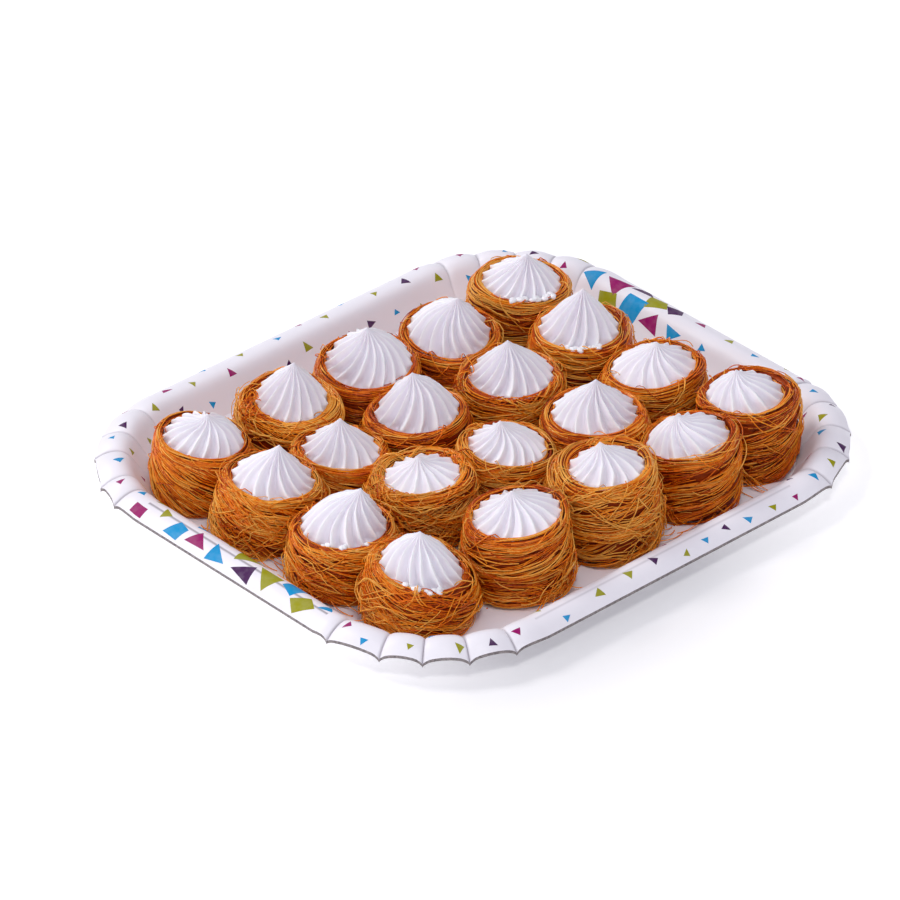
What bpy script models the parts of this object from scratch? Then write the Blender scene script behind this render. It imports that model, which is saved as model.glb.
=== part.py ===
"""Cream kunafa on its board tray: twenty wound pastry nests, each with a piped swirl of cream.

Sizes are in millimetres. +X runs along the tray's long side, +Z is up, and the tray's
underside stands on z = 0 with its middle at the origin.
"""

import math
import random
from collections import namedtuple

import bmesh
import bpy
from mathutils import Vector

MM = 0.001
GAP = 0.3  # kept between pieces that touch
SEED = 20
SHARP_ANGLE = 60  # degrees; edges that bend less are shaded smooth

# Tray: a sheet of board with a rolled rim, pleated at its corners
TRAY_LONG = 300.0
TRAY_SHORT = 263.4
TRAY_CORNER = 72.4
BOARD = 0.9
RIM_PROFILE = [(0.0, 11.0), (5.0, 14.2), (10.5, 15.3), (15.0, 13.0), (19.5, 6.6), (24.0, BOARD)]
LOBE_SHARE = [1.0, 1.0, 0.8, 0.6, 0.3, 0.0]  # how much of a lobe's swell reaches each rim point
# Degrees round each corner, anticlockwise, from the corner at +X +Y. A lobe lies between two creases.
CREASES = [(13, 29, 45, 61, 77), (15, 33, 47, 66, 78), (7, 28, 43, 59, 76), (16, 34, 51, 69, 85)]
LOBE_STEPS = 3
LOBE_SWELL = 1.4
END_STEPS = 2
END_SWELL = 0.5  # between a corner's outermost crease and the straight side
CREASE_DIP = 1.8
CREASE_REACH = 0.9  # how far a crease's tip stands out past the rounded corner
FULL_REACH = 18  # degrees from the straight side at which a crease reaches out that far
FLOOR_BEND = 27  # degrees; half the angle by which the rim turns up from the floor
WALL_CLEARANCE = 1.1  # from the rim's inner side to a nest

# Nest: a wound wall of pastry strands with a shallow seat for the cream
NEST_SIDES = 19
NEST_FOOT = 2.6  # the foot is this much narrower than the body
FOOT_SWELL = 0.4  # share of the wound bundles' depth that shows at the foot
SEAT_DEPTH = 4.0
SEAT_PLAY = 1.0  # room round the cream
SEAT_TAPER = 0.5
SEAT_LIP = 1.6  # the wall's inner edge lies this far below its crest
WIND_SWELL = 0.7  # depth of the wound bundles in the wall
WIND_BUNDLES = 4
WIND_SLANT = 2.6
CREST_WAVE = 0.7
NEIGHBOUR_REACH = 2.6  # nests nearer than this, in body radii, may press on each other
LEAST_FACING = 0.05  # cosine of the angle past which a direction runs beside a neighbour
PRESS_STEPS = 12  # rounds of moving a point in from the rim

# Cream: a piped swirl with ridges that run up to its tip
CREAM_SINK = 1.2  # its scalloped edge lies this far below the crest
CREAM_FOOT = 0.88
SCALLOP = 0.5
CREAM_RINGS = [(0.24, 0.17), (0.58, 0.14), (0.88, 0.12), (1.0, 0.11)]  # share of radius, depth of grooves
TIP_PULL = 3.6  # how far the tip is drawn up out of the dome
TIP_START = 0.4  # share of the radius where that begins
TIP_BEND = 1.2

# Each nest's place, radii of body and crest, height of the crest, foot's shift, how far the
# crest rises towards +X and +Y, then its cream: shift, radius, height, tip's shift, fullness
# (1 a cone, 3 a flat-topped dome), number of ridges and turn of the ridges in degrees.
Nest = namedtuple("Nest", "x y body crest high foot rise cream wide lift tip full ridges turn")
NESTS = {
    "a1": Nest(-104, 66, 23.5, 21.5, 30, (0, 0), (-1.8, 1.7), (1.0, 0.5), 18.0, 12.7, (1.6, -1.5), 3.0, 17, 20),
    "a2": Nest(-53.5, 64, 24, 22.3, 28.5, (-1.5, 1.5), (1.1, 3.0), (1.8, 1.0), 16.0, 19.5, (0.9, -0.9), 1.9, 16, 8),
    "a3": Nest(-6, 65, 24.5, 23.3, 28, (0, 0), (1.6, 1.8), (1.5, 0.6), 19.5, 18.3, (-0.5, 0.4), 2.2, 17, 28),
    "a4": Nest(39, 59, 24, 22.8, 28, (0, 0), (1.1, 3.4), (1.0, 1.0), 18.5, 18.2, (3.0, -2.7), 2.2, 17, -14),
    "a5": Nest(89, 65, 24, 22.5, 32, (0, 0), (-1.0, 0.9), (1.0, 0.3), 18.0, 15.0, (2.0, -1.9), 1.8, 17, 6),
    "b1": Nest(-101.5, 22, 24.5, 22.0, 29, (-3.0, 2.6), (-1.5, 1.4), (0.2, -0.8), 18.0, 18.0, (2.1, -1.9), 1.6, 15, -8),
    "b2": Nest(-59.5, 23, 23, 21.5, 24.5, (0, 0), (-1.5, 1.4), (0.6, 0.4), 17.2, 16.7, (-0.4, 0.3), 1.6, 15, 4),
    "b3": Nest(-16, 20.5, 24.5, 23.3, 27, (0, 0), (1.0, -0.9), (0.8, 0.5), 18.4, 20.7, (-1.7, 1.6), 2.3, 15, 16),
    "b4": Nest(34, 13, 25, 23.8, 29, (0, 0), (0, 0), (0.5, -0.5), 19.0, 18.5, (-1.3, 1.2), 1.8, 17, 8),
    "b5": Nest(83, 17, 24.5, 23.3, 31, (0, 0), (0, 0), (-0.9, 1.2), 18.1, 21.6, (1.3, -1.2), 1.7, 15, 6),
    "c1": Nest(-103, -27.5, 24.5, 23.0, 28, (0, 0), (0, 0), (0.8, 1.0), 18.6, 19.3, (5.6, -5.2), 2.3, 16, -12),
    "c2": Nest(-51, -21.5, 24.5, 23.0, 29, (0, 0), (1.5, -1.4), (0.3, 0.6), 17.1, 10.1, (-1.4, 1.3), 1.6, 15, 6),
    "c3": Nest(-8.5, -31, 23.5, 21.2, 30, (0, 0), (-1.3, 1.2), (0.8, 0.8), 17.6, 12.7, (-2.5, 2.3), 2.0, 17, 45),
    "c4": Nest(37.5, -39.5, 25, 23.8, 31, (0, 0), (0.6, -0.5), (0.8, 1.4), 19.0, 17.7, (0.3, -0.3), 1.7, 17, -6),
    "c5": Nest(84, -29, 24.5, 23.3, 31, (0, 0), (1.9, -1.8), (0.9, 1.2), 19.2, 12.7, (0.8, -0.8), 1.9, 16, -10),
    "d1": Nest(-97, -71, 26.5, 23.0, 26, (-1.0, 0.5), (-2.9, 2.7), (-0.8, -1.0), 18.0, 18.9, (-0.4, 0.4), 2.3, 16, -5),
    "d2": Nest(-48, -79, 25.5, 23.7, 34.5, (0, 0), (1.9, -1.8), (1.0, 0.8), 19.6, 12.1, (-1.8, 1.7), 1.8, 17, 22),
    "d3": Nest(3, -81.5, 26, 23.4, 39.5, (0, 0), (1.1, -1.0), (-0.4, -1.6), 16.8, 13.1, (-2.3, 2.1), 1.5, 15, 18),
    "d4": Nest(52.5, -84, 23.8, 22.6, 33, (0, 0), (2.9, -2.7), (0.4, 0.8), 18.2, 12.7, (-3.9, 3.6), 2.5, 16, -25),
    "d5": Nest(95.5, -78, 24.8, 22.6, 35, (0, 0), (1.0, -0.9), (-1.2, 0.8), 17.2, 13.3, (-3.2, 2.9), 2.4, 14, -10),
}
# The wall's outline, from foot to crest: share of the height, and the body's share of the radius
WALL = [(0.10, 0.7), (0.38, 1.0), (0.70, 0.6), (0.93, 0.0)]

COLOURS = {  # base colour, roughness
    "tray board": ((0.86, 0.84, 0.87), 0.3),
    "kunafa pastry": ((0.50, 0.19, 0.03), 0.5),
    "cream": ((0.88, 0.84, 0.86), 0.45),
}


def material(name):
    made = bpy.data.materials.get(name)
    if made is None:
        colour, roughness = COLOURS[name]
        made = bpy.data.materials.new(name)
        made.use_nodes = True
        shader = made.node_tree.nodes["Principled BSDF"]
        shader.inputs["Base Color"].default_value = (*colour, 1.0)
        shader.inputs["Roughness"].default_value = roughness
    return made


def loft(name, rings, finish, collection, tip=None):
    """A closed solid through rings of points in mm, first to last, capped at both ends.

    The rings run anticlockwise seen from the last one, and a tip takes the last cap's place.
    """
    bm = bmesh.new()
    rows = [[bm.verts.new(Vector(point) * MM) for point in ring] for ring in rings]
    count = len(rings[0])
    for low, high in zip(rows, rows[1:]):
        for i in range(count):
            j = (i + 1) % count
            bm.faces.new((low[i], low[j], high[j], high[i]))
    bm.faces.new(rows[0][::-1])
    if tip is None:
        bm.faces.new(rows[-1])
    else:
        top = bm.verts.new(Vector(tip) * MM)
        for i in range(count):
            bm.faces.new((rows[-1][i], rows[-1][(i + 1) % count], top))
    mesh = bpy.data.meshes.new(name)
    bm.to_mesh(mesh)
    bm.free()
    mesh.shade_smooth()
    mesh.set_sharp_from_angle(angle=math.radians(SHARP_ANGLE))
    mesh.materials.append(material(finish))
    made = bpy.data.objects.new(name, mesh)
    collection.objects.link(made)
    return made


def tray_columns():
    """The rim's columns, anticlockwise: outer edge, way out, how far up a lobe lifts and how far out a crease reaches."""
    half_x = TRAY_LONG / 2 - TRAY_CORNER
    half_y = TRAY_SHORT / 2 - TRAY_CORNER
    columns = []
    for corner, (side_x, side_y) in enumerate([(1, 1), (-1, 1), (-1, -1), (1, -1)]):
        middle = Vector((side_x * half_x, side_y * half_y))
        stops = [0, *CREASES[corner], 90]
        turns = [(90, 0.0, 0.0)]
        for start, end in zip(stops, stops[1:]):
            at_side = start == 0 or end == 90
            steps = END_STEPS if at_side else LOBE_STEPS
            swell = END_SWELL if at_side else LOBE_SWELL
            if start > 0:
                share = min(1.0, start / FULL_REACH, (90 - start) / FULL_REACH)
                turns.append((start, -CREASE_DIP, CREASE_REACH * share))
            else:
                turns.append((0, 0.0, 0.0))
            for step in range(1, steps):
                phase = step / steps
                turns.append((start + (end - start) * phase, swell * math.sin(math.pi * phase), 0.0))
        for turn, lift, reach in sorted(turns):
            angle = math.radians(90 * corner + turn)
            out = Vector((math.cos(angle), math.sin(angle)))
            columns.append((middle + out * TRAY_CORNER, out, lift, reach))
    return columns


def rim_point(column, inset, height, lobe):
    edge, out, lift, reach = column
    point = edge - out * (inset - reach * lobe)
    return point.x, point.y, height + lift * lobe


def underside(profile):
    """The board's lower face: each point of the profile moved out through the board's thickness."""
    moved = []
    for i, (inset, height) in enumerate(profile):
        before = Vector(profile[max(i - 1, 0)])
        after = Vector(profile[min(i + 1, len(profile) - 1)])
        along = (after - before).normalized()
        if i == len(profile) - 1:
            moved.append((inset - BOARD * math.tan(math.radians(FLOOR_BEND)), 0.0))
        else:
            moved.append((inset + along.y * BOARD, height - along.x * BOARD))
    return moved


def tray(collection):
    columns = tray_columns()
    lower = underside(RIM_PROFILE)
    rings = []
    for profile in (lower[::-1], RIM_PROFILE):
        lobes = LOBE_SHARE if profile is RIM_PROFILE else LOBE_SHARE[::-1]
        for (inset, height), lobe in zip(profile, lobes):
            rings.append([rim_point(column, inset, height, lobe) for column in columns])
    return loft("tray", rings, "tray board", collection)


def wall_inset(height):
    """How far in from the tray's edge the rim's inner side lies at this height."""
    inner = RIM_PROFILE[2:]
    for (near, high), (far, low) in zip(inner, inner[1:]):
        if low <= height <= high:
            return near + (far - near) * (high - height) / (high - low)
    return 0.0 if height > inner[0][1] else inner[-1][0]


def tray_inset(x, y):
    """How far a point lies inside the tray's rounded outline."""
    over_x = abs(x) - (TRAY_LONG / 2 - TRAY_CORNER)
    over_y = abs(y) - (TRAY_SHORT / 2 - TRAY_CORNER)
    outside = math.hypot(max(over_x, 0.0), max(over_y, 0.0))
    return TRAY_CORNER - outside - min(max(over_x, over_y), 0.0)


def neighbour_planes(name):
    """For each nest beside this one: the way to it, and how far off the plane midway lies."""
    nest = NESTS[name]
    planes = []
    for other in NESTS.values():
        apart = math.hypot(other.x - nest.x, other.y - nest.y)
        if other is nest or apart > NEIGHBOUR_REACH * nest.body:
            continue
        way = ((other.x - nest.x) / apart, (other.y - nest.y) / apart)
        planes.append((way, (apart**2 + nest.crest**2 - other.crest**2) / (2 * apart) - GAP / 2))
    return planes


def crest_height(nest, x, y):
    rise = (nest.rise[0] * (x - nest.x) + nest.rise[1] * (y - nest.y)) / nest.crest
    return BOARD + GAP + nest.high + rise


def pressed(nest, planes, centre, angle, radius, height):
    """The radius at this angle, less where the nest is pressed against a neighbour or the tray's rim."""
    way_x, way_y = math.cos(angle), math.sin(angle)
    for (to_x, to_y), distance in planes:
        facing = way_x * to_x + way_y * to_y
        if facing > LEAST_FACING:
            start = (centre[0] - nest.x) * to_x + (centre[1] - nest.y) * to_y
            radius = min(radius, (distance - start) / facing)
    needed = wall_inset(height) + WALL_CLEARANCE
    for _ in range(PRESS_STEPS):
        short = needed - tray_inset(centre[0] + radius * way_x, centre[1] + radius * way_y)
        if short > 0:
            radius -= short
    return radius


def nest_solid(name, rng, collection):
    nest = NESTS[name]
    planes = neighbour_planes(name)
    base = BOARD + GAP
    phases = [rng.uniform(0, 2 * math.pi) for _ in range(4)]
    angles = [2 * math.pi * i / NEST_SIDES for i in range(NEST_SIDES)]
    rings = []
    for share, belly in [(0.0, None), *WALL]:
        wide = nest.body - NEST_FOOT if belly is None else nest.crest + (nest.body - nest.crest) * belly
        shift = (1 - share) ** 2
        centre = (nest.x + nest.foot[0] * shift, nest.y + nest.foot[1] * shift)
        ring = []
        for angle in angles:
            wound = WIND_SWELL * math.sin(WIND_BUNDLES * angle + WIND_SLANT * share + phases[0])
            wound += WIND_SWELL * math.sin(2 * angle + phases[1])
            swell = wound * (FOOT_SWELL if belly is None else 1.0)
            height = base + share * (nest.high + CREST_WAVE * math.sin(3 * angle + phases[2]))
            radius = pressed(nest, planes, centre, angle, wide + swell, height)
            x, y = centre[0] + radius * math.cos(angle), centre[1] + radius * math.sin(angle)
            ring.append((x, y, height + share * (crest_height(nest, x, y) - base - nest.high)))
        rings.append(ring)
    seat = (nest.x + nest.cream[0], nest.y + nest.cream[1])
    inner = []
    floor = []
    for angle in angles:
        for ring, radius, drop in (
            (inner, nest.wide + SEAT_PLAY, SEAT_LIP),
            (floor, nest.wide + SEAT_PLAY - SEAT_TAPER, SEAT_DEPTH),
        ):
            x, y = seat[0] + radius * math.cos(angle), seat[1] + radius * math.sin(angle)
            ring.append((x, y, crest_height(nest, x, y) - drop))
    crest = []
    for i, angle in enumerate(angles):
        x = (rings[-1][i][0] + inner[i][0]) / 2
        y = (rings[-1][i][1] + inner[i][1]) / 2
        crest.append((x, y, crest_height(nest, x, y) + CREST_WAVE * math.sin(4 * angle + phases[3])))
    return loft(f"nest_{name}", [*rings, crest, inner, floor], "kunafa pastry", collection)


def cream_solid(name, collection):
    nest = NESTS[name]
    middle = (nest.x + nest.cream[0], nest.y + nest.cream[1])
    count = 2 * nest.ridges
    rings = []
    foot = []
    for i in range(count):
        angle = 2 * math.pi * i / count
        radius = nest.wide * CREAM_FOOT
        x, y = middle[0] + radius * math.cos(angle), middle[1] + radius * math.sin(angle)
        foot.append((x, y, crest_height(nest, x, y) - SEAT_DEPTH + GAP))
    rings.append(foot)
    for share, groove in CREAM_RINGS[::-1]:
        bend = (1 - share) ** TIP_BEND
        centre = (middle[0] + nest.tip[0] * bend, middle[1] + nest.tip[1] * bend)
        ring = []
        for i in range(count):
            angle = 2 * math.pi * i / count + math.radians(nest.turn) * (1 - share)
            in_groove = i % 2
            radius = nest.wide * share * (1 - groove * in_groove)
            x, y = centre[0] + radius * math.cos(angle), centre[1] + radius * math.sin(angle)
            height = crest_height(nest, x, y) - CREAM_SINK + (nest.lift - TIP_PULL) * (1 - share**nest.full)
            height += TIP_PULL * max(0.0, 1 - share / TIP_START) ** 2
            if share == 1.0:
                height += SCALLOP * (in_groove - 0.5)
            ring.append((x, y, height))
        rings.append(ring)
    top = (middle[0] + nest.tip[0], middle[1] + nest.tip[1])
    tip = (*top, crest_height(nest, *top) - CREAM_SINK + nest.lift)
    return loft(f"cream_{name}", rings, "cream", collection, tip)


def main():
    for thing in list(bpy.data.objects):
        bpy.data.objects.remove(thing)
    collection = bpy.data.collections.new("cream kunafa tray")
    bpy.context.scene.collection.children.link(collection)
    rng = random.Random(SEED)
    tray(collection)
    for name in NESTS:
        nest_solid(name, rng, collection)
        cream_solid(name, collection)


main()
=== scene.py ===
"""Looks of the cream kunafa tray: a printed board tray, wound pastry strands and piped cream.

Lengths in the tables are in millimetres. Meshes are in metres, in the frame of the solids:
+X along the tray's long side, +Y along its short side, +Z up.
"""

import math
import random
from collections import namedtuple
from types import SimpleNamespace

import bmesh
import bpy
import numpy as np
from mathutils import Matrix, Vector, noise
from mathutils.bvhtree import BVHTree


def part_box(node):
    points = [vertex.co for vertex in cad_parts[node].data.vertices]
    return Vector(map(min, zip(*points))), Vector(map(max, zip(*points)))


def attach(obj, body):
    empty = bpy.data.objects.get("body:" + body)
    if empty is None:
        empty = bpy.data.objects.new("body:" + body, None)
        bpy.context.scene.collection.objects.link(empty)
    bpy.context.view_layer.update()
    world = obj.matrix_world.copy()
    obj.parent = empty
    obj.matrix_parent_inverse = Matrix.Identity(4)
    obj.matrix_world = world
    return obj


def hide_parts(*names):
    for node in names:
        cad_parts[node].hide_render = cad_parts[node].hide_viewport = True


MM = 0.001
SEED = 7

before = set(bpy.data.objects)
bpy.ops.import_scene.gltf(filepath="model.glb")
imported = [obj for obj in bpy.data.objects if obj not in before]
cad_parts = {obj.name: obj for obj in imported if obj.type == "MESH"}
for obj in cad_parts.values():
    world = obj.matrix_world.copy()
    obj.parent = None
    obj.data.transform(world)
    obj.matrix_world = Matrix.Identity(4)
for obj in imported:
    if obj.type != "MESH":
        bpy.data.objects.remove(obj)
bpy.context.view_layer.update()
TRAY_LOW, TRAY_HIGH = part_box("tray")
TRAY_LONG = (TRAY_HIGH.x - TRAY_LOW.x) / MM
TRAY_SHORT = (TRAY_HIGH.y - TRAY_LOW.y) / MM

# Tray, as in the solid
TRAY_CORNER = 72.4
BOARD = 0.9
GAP = 0.3
# Section of the rim: inset and height
RIM = [(0.0, 11.0), (5.0, 14.2), (10.5, 15.3), (15.0, 13.0), (19.5, 6.6), (24.0, BOARD)]
LOBE_SHARE = [1.0, 1.0, 0.8, 0.6, 0.3, 0.0]  # how much of a lobe's swell reaches each rim point
CREASES = [(13, 29, 45, 61, 77), (15, 33, 47, 66, 78), (7, 28, 43, 59, 76), (16, 34, 51, 69, 85)]
LOBE_SWELL = 1.4
END_SWELL = 0.5
LOBE_ROUND = 0.5  # below 1 the lobe's flanks are steep
CREASE_DIP = 1.8
CREASE_REACH = 0.9
CREASE_WIDE = 2.0
FULL_REACH = 18
CUT_EDGE = 1.5

# Print on the board: colour of each ink
INKS = {
    "sky": (0.002, 0.31, 0.64),
    "lime": (0.34, 0.33, 0.002),
    "magenta": (0.33, 0.001, 0.13),
    "plum": (0.065, 0.01, 0.085),
}
INK_SHARE = "sky lime magenta sky lime plum sky lime plum magenta".split()
INK_APART = 18.0  # closer motifs have different inks where they can
INK_ORDER = ("lime", "sky", "magenta", "plum")  # the first of these that no close motif has
MOTIF_SMALL = 3.2  # distance from a motif's middle to its corners
MOTIF_LARGE = 4.9  # added in the two clusters on the short sides
MOTIF_CLUSTERS = [(-150, 0, 58), (150, 42, 36)]  # side, middle in y, how far it reaches
MOTIF_LONG = 1.25  # how much longer along the edge the large ones are
MOTIF_GAP = 0.8
MOTIF_SPACE = 8.0  # added to the gap away from the clusters
MOTIF_CLOSE = 0.8  # share of two motifs' radii that is kept between their middles
MOTIF_TRIES = 9000
FOUR_CORNERS = 4.0  # motifs larger than this have four corners now and then
FILM = 0.05
FILM_STEP = 1.4

# Nests and creams, as in the solids: place, radii of body and crest, height of the crest, how far
# the crest rises towards +X and +Y, then the cream's shift, radius, height, tip's shift, fullness,
# number of ridges and their turn in degrees
Nest = namedtuple("Nest", "x y body crest high rise cream wide lift tip full ridges turn")
NESTS = {name: Nest(*row) for name, row in {
    "a1": (-104, 66, 23.5, 21.5, 30, (-1.8, 1.7), (1.0, 0.5), 18.0, 12.7, (1.6, -1.5), 3.0, 17, 20),
    "a2": (-53.5, 64, 24, 22.3, 28.5, (1.1, 3.0), (1.8, 1.0), 16.0, 19.5, (0.9, -0.9), 1.9, 16, 8),
    "a3": (-6, 65, 24.5, 23.3, 28, (1.6, 1.8), (1.5, 0.6), 19.5, 18.3, (-0.5, 0.4), 2.2, 17, 28),
    "a4": (39, 59, 24, 22.8, 28, (1.1, 3.4), (1.0, 1.0), 18.5, 18.2, (3.0, -2.7), 2.2, 17, -14),
    "a5": (89, 65, 24, 22.5, 32, (-1.0, 0.9), (1.0, 0.3), 18.0, 15.0, (2.0, -1.9), 1.8, 17, 6),
    "b1": (-101.5, 22, 24.5, 22.0, 29, (-1.5, 1.4), (0.2, -0.8), 18.0, 18.0, (2.1, -1.9), 1.6, 15, -8),
    "b2": (-59.5, 23, 23, 21.5, 24.5, (-1.5, 1.4), (0.6, 0.4), 17.2, 16.7, (-0.4, 0.3), 1.6, 15, 4),
    "b3": (-16, 20.5, 24.5, 23.3, 27, (1.0, -0.9), (0.8, 0.5), 18.4, 20.7, (-1.7, 1.6), 2.3, 15, 16),
    "b4": (34, 13, 25, 23.8, 29, (0, 0), (0.5, -0.5), 19.0, 18.5, (-1.3, 1.2), 1.8, 17, 8),
    "b5": (83, 17, 24.5, 23.3, 31, (0, 0), (-0.9, 1.2), 18.1, 21.6, (1.3, -1.2), 1.7, 15, 6),
    "c1": (-103, -27.5, 24.5, 23.0, 28, (0, 0), (0.8, 1.0), 18.6, 19.3, (5.6, -5.2), 2.3, 16, -12),
    "c2": (-51, -21.5, 24.5, 23.0, 29, (1.5, -1.4), (0.3, 0.6), 17.1, 10.1, (-1.4, 1.3), 1.6, 15, 6),
    "c3": (-8.5, -31, 23.5, 21.2, 30, (-1.3, 1.2), (0.8, 0.8), 17.6, 12.7, (-2.5, 2.3), 2.0, 17, 34),
    "c4": (37.5, -39.5, 25, 23.8, 31, (0.6, -0.5), (0.8, 1.4), 19.0, 17.7, (0.3, -0.3), 1.7, 17, -6),
    "c5": (84, -29, 24.5, 23.3, 31, (1.9, -1.8), (0.9, 1.2), 19.2, 12.7, (0.8, -0.8), 1.9, 16, -10),
    "d1": (-97, -71, 26.5, 23.0, 26, (-2.9, 2.7), (-0.8, -1.0), 18.0, 18.9, (-0.4, 0.4), 2.3, 16, -5),
    "d2": (-48, -79, 25.5, 23.7, 34.5, (1.9, -1.8), (1.0, 0.8), 19.6, 12.1, (-1.8, 1.7), 1.8, 17, 10),
    "d3": (3, -81.5, 26, 23.4, 39.5, (1.1, -1.0), (-0.4, -1.6), 16.8, 13.1, (-2.3, 2.1), 1.5, 15, 8),
    "d4": (52.5, -84, 23.8, 22.6, 33, (2.9, -2.7), (0.4, 0.8), 18.2, 12.7, (-3.9, 3.6), 2.5, 16, -25),
    "d5": (95.5, -78, 24.8, 22.6, 35, (1.0, -0.9), (-1.2, 0.8), 17.2, 13.3, (-3.2, 2.9), 2.4, 14, -10),
}.items()}
SEAT_PLAY = 1.0
SEAT_LIP = 1.6
CREAM_SINK = 1.2
CREAM_DEPTH = 3.7  # from the crest down to the cream's foot
TIP_PULL = 3.6  # how far the tip is drawn up out of the dome
TIP_START = 0.4  # share of the radius where that begins
TIP_BEND = 1.2

# How each nest is wound: the strands' slope in degrees (rising anticlockwise) and how far single
# strands stray from it, how much whole bundles wander, the number of loose loops and of stray
# ends, and how golden the strands are (0 browned, 1 pale gold)
Winding = namedtuple("Winding", "slope spread drift loops strays gold")
WINDINGS = {name: Winding(*row) for name, row in {
    "a1": (-30, 6, 0.04, 3, 8, 0.52),
    "a2": (-8, 13, 0.08, 10, 40, 0.72),
    "a3": (-8, 9, 0.06, 5, 24, 0.4),
    "a4": (5, 9, 0.06, 5, 26, 0.46),
    "a5": (2, 9, 0.06, 5, 20, 0.74),
    "b1": (-24, 13, 0.08, 14, 40, 0.7),
    "b2": (-5, 10, 0.06, 6, 18, 0.61),
    "b3": (6, 9, 0.06, 5, 18, 0.43),
    "b4": (6, 14, 0.08, 10, 44, 0.66),
    "b5": (-3, 9, 0.06, 6, 28, 0.64),
    "c1": (-17, 13, 0.08, 9, 34, 0.58),
    "c2": (4, 24, 0.1, 26, 60, 0.71),
    "c3": (4, 16, 0.08, 10, 40, 0.76),
    "c4": (-6, 9, 0.06, 6, 30, 0.46),
    "c5": (10, 16, 0.08, 10, 44, 0.52),
    "d1": (-10, 16, 0.1, 16, 40, 0.61),
    "d2": (6, 11, 0.08, 10, 44, 0.63),
    "d3": (10, 18, 0.1, 22, 50, 0.73),
    "d4": (15, 9, 0.06, 8, 36, 0.56),
    "d5": (15, 8, 0.05, 6, 30, 0.48),
}.items()}
# Tangled places: number of strands, the middle and width of the place round the nest in degrees,
# and the lowest and highest share of its outline
TANGLES = {
    "a2": [(22, 160, 60, 0.45, 0.8)],
    "b1": [(40, 185, 50, 0.04, 0.34), (14, 215, 70, 0.3, 0.7)],
    "b4": [(20, 150, 60, 0.35, 0.85), (16, 300, 50, 0.3, 0.8)],
    "c1": [(22, 170, 60, 0.1, 0.5)],
    "c2": [(40, 225, 130, 0.15, 0.8)],
    "c3": [(18, 290, 60, 0.2, 0.6)],
    "c5": [(18, 200, 80, 0.3, 0.85)],
    "d1": [(34, 165, 50, 0.15, 0.62), (16, 230, 70, 0.3, 0.7)],
    "d2": [(26, 285, 50, 0.04, 0.4)],
    "d3": [(30, 290, 60, 0.04, 0.5), (14, 150, 60, 0.5, 0.85)],
    "d4": [(20, 185, 50, 0.05, 0.5)],
    "d5": [(22, 205, 50, 0.02, 0.3)],
}
STRAND = 0.27  # radius of a strand
SKIN_INSET = 0.75  # the wound surface lies this far inside the solid
CORE_INSET = 0.65  # and the core this far below it
COLUMNS = 96
WALL_ROWS = 19
WALL_SHARES = (0.01, 0.92)  # of the crest's height
BORE_INSET = 0.3
CREST_WAVE = 0.4
BUNDLE = 0.9  # relief of the wound bundles
BUNDLE_HIGH = 3.0
TONE_SPREAD = 0.3
TONE_BUNDLE = 0.16
# Painted shade: strands lying lower in the winding are darker by this much
DEPTH_SHADE = 0.58
PITCH = 0.62  # between the strands of a bundle
LONGEST_TURN = 0.62  # for one strand
LONGEST_CLIMB = 0.42  # of the outline
WIND_COVER = 118  # whole turns of strand wound on a nest

# Camera: the point looked at, direction and distance
CAMERA_AIM = (2.0, 18.1, 0.0)
CAMERA_AZIMUTH = -42.607
CAMERA_ELEVATION = 32.965
CAMERA_DISTANCE = 3168.15
CAMERA_LENS = 280.0


# Helpers for node trees

class Output:
    """A node's output. A sum, product or the like of outputs becomes a Math node."""

    def __init__(self, tree, socket):
        self.tree = tree
        self.socket = socket

    def into(self, socket):
        self.tree.links.new(self.socket, socket)

    def math(self, operation, *terms):
        return put(self.tree, "ShaderNodeMath", dict(enumerate((self, *terms))), operation=operation)

    def __add__(self, other):
        return self.math("ADD", other)

    def __sub__(self, other):
        return self.math("SUBTRACT", other)

    def __rsub__(self, other):
        return put(self.tree, "ShaderNodeMath", {0: other, 1: self}, operation="SUBTRACT")

    def __mul__(self, other):
        return self.math("MULTIPLY", other)

    def __truediv__(self, other):
        return self.math("DIVIDE", other)

    def between(self, low, high):
        return self.math("MAXIMUM", low).math("MINIMUM", high)

    def mix(self, low, high):
        return put(self.tree, "ShaderNodeMix", {0: self, 2: low, 3: high})

    def drawn(self, low, high, seed):
        """A random number from low to high for each value of this output."""
        sockets = {2: low, 3: high, "ID": self, "Seed": seed}
        return put(self.tree, "FunctionNodeRandomValue", sockets, "Value")

    def cloud(self, scale, detail=1.0):
        """Smooth noise over this place, from about -0.5 to 0.5."""
        sockets = {"Vector": self, "Scale": scale, "Detail": detail}
        return put(self.tree, "ShaderNodeTexNoise", sockets) - 0.5

    def parts(self):
        node = self.tree.nodes.new("ShaderNodeSeparateXYZ")
        self.into(node.inputs[0])
        return [Output(self.tree, socket) for socket in node.outputs]


def put(tree, kind, sockets=None, output=0, **settings):
    """Adds a node and returns one output. sockets gives its inputs by name or number."""
    node = tree.nodes.new(kind)
    for key, value in settings.items():
        setattr(node, key, value)
    for key, value in (sockets or {}).items():
        if isinstance(value, Output):
            value.into(node.inputs[key])
        else:
            node.inputs[key].default_value = value
    return Output(tree, node.outputs[output]) if node.outputs else None


def vector(x, y, z):
    return put(x.tree, "ShaderNodeCombineXYZ", {0: x, 1: y, 2: z})


def vector_math(operation, first, second, output=0):
    return put(first.tree, "ShaderNodeVectorMath", {0: first, 1: second}, output, operation=operation)


def stored(geometry, name, value):
    """The geometry with value kept in an attribute of its points."""
    return put(
        geometry.tree, "GeometryNodeStoreNamedAttribute",
        {"Geometry": geometry, "Name": name, "Value": value}, data_type="FLOAT", domain="POINT",
    )


SOCKETS = {int: "NodeSocketInt", float: "NodeSocketFloat", str: "NodeSocketMaterial"}


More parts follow.
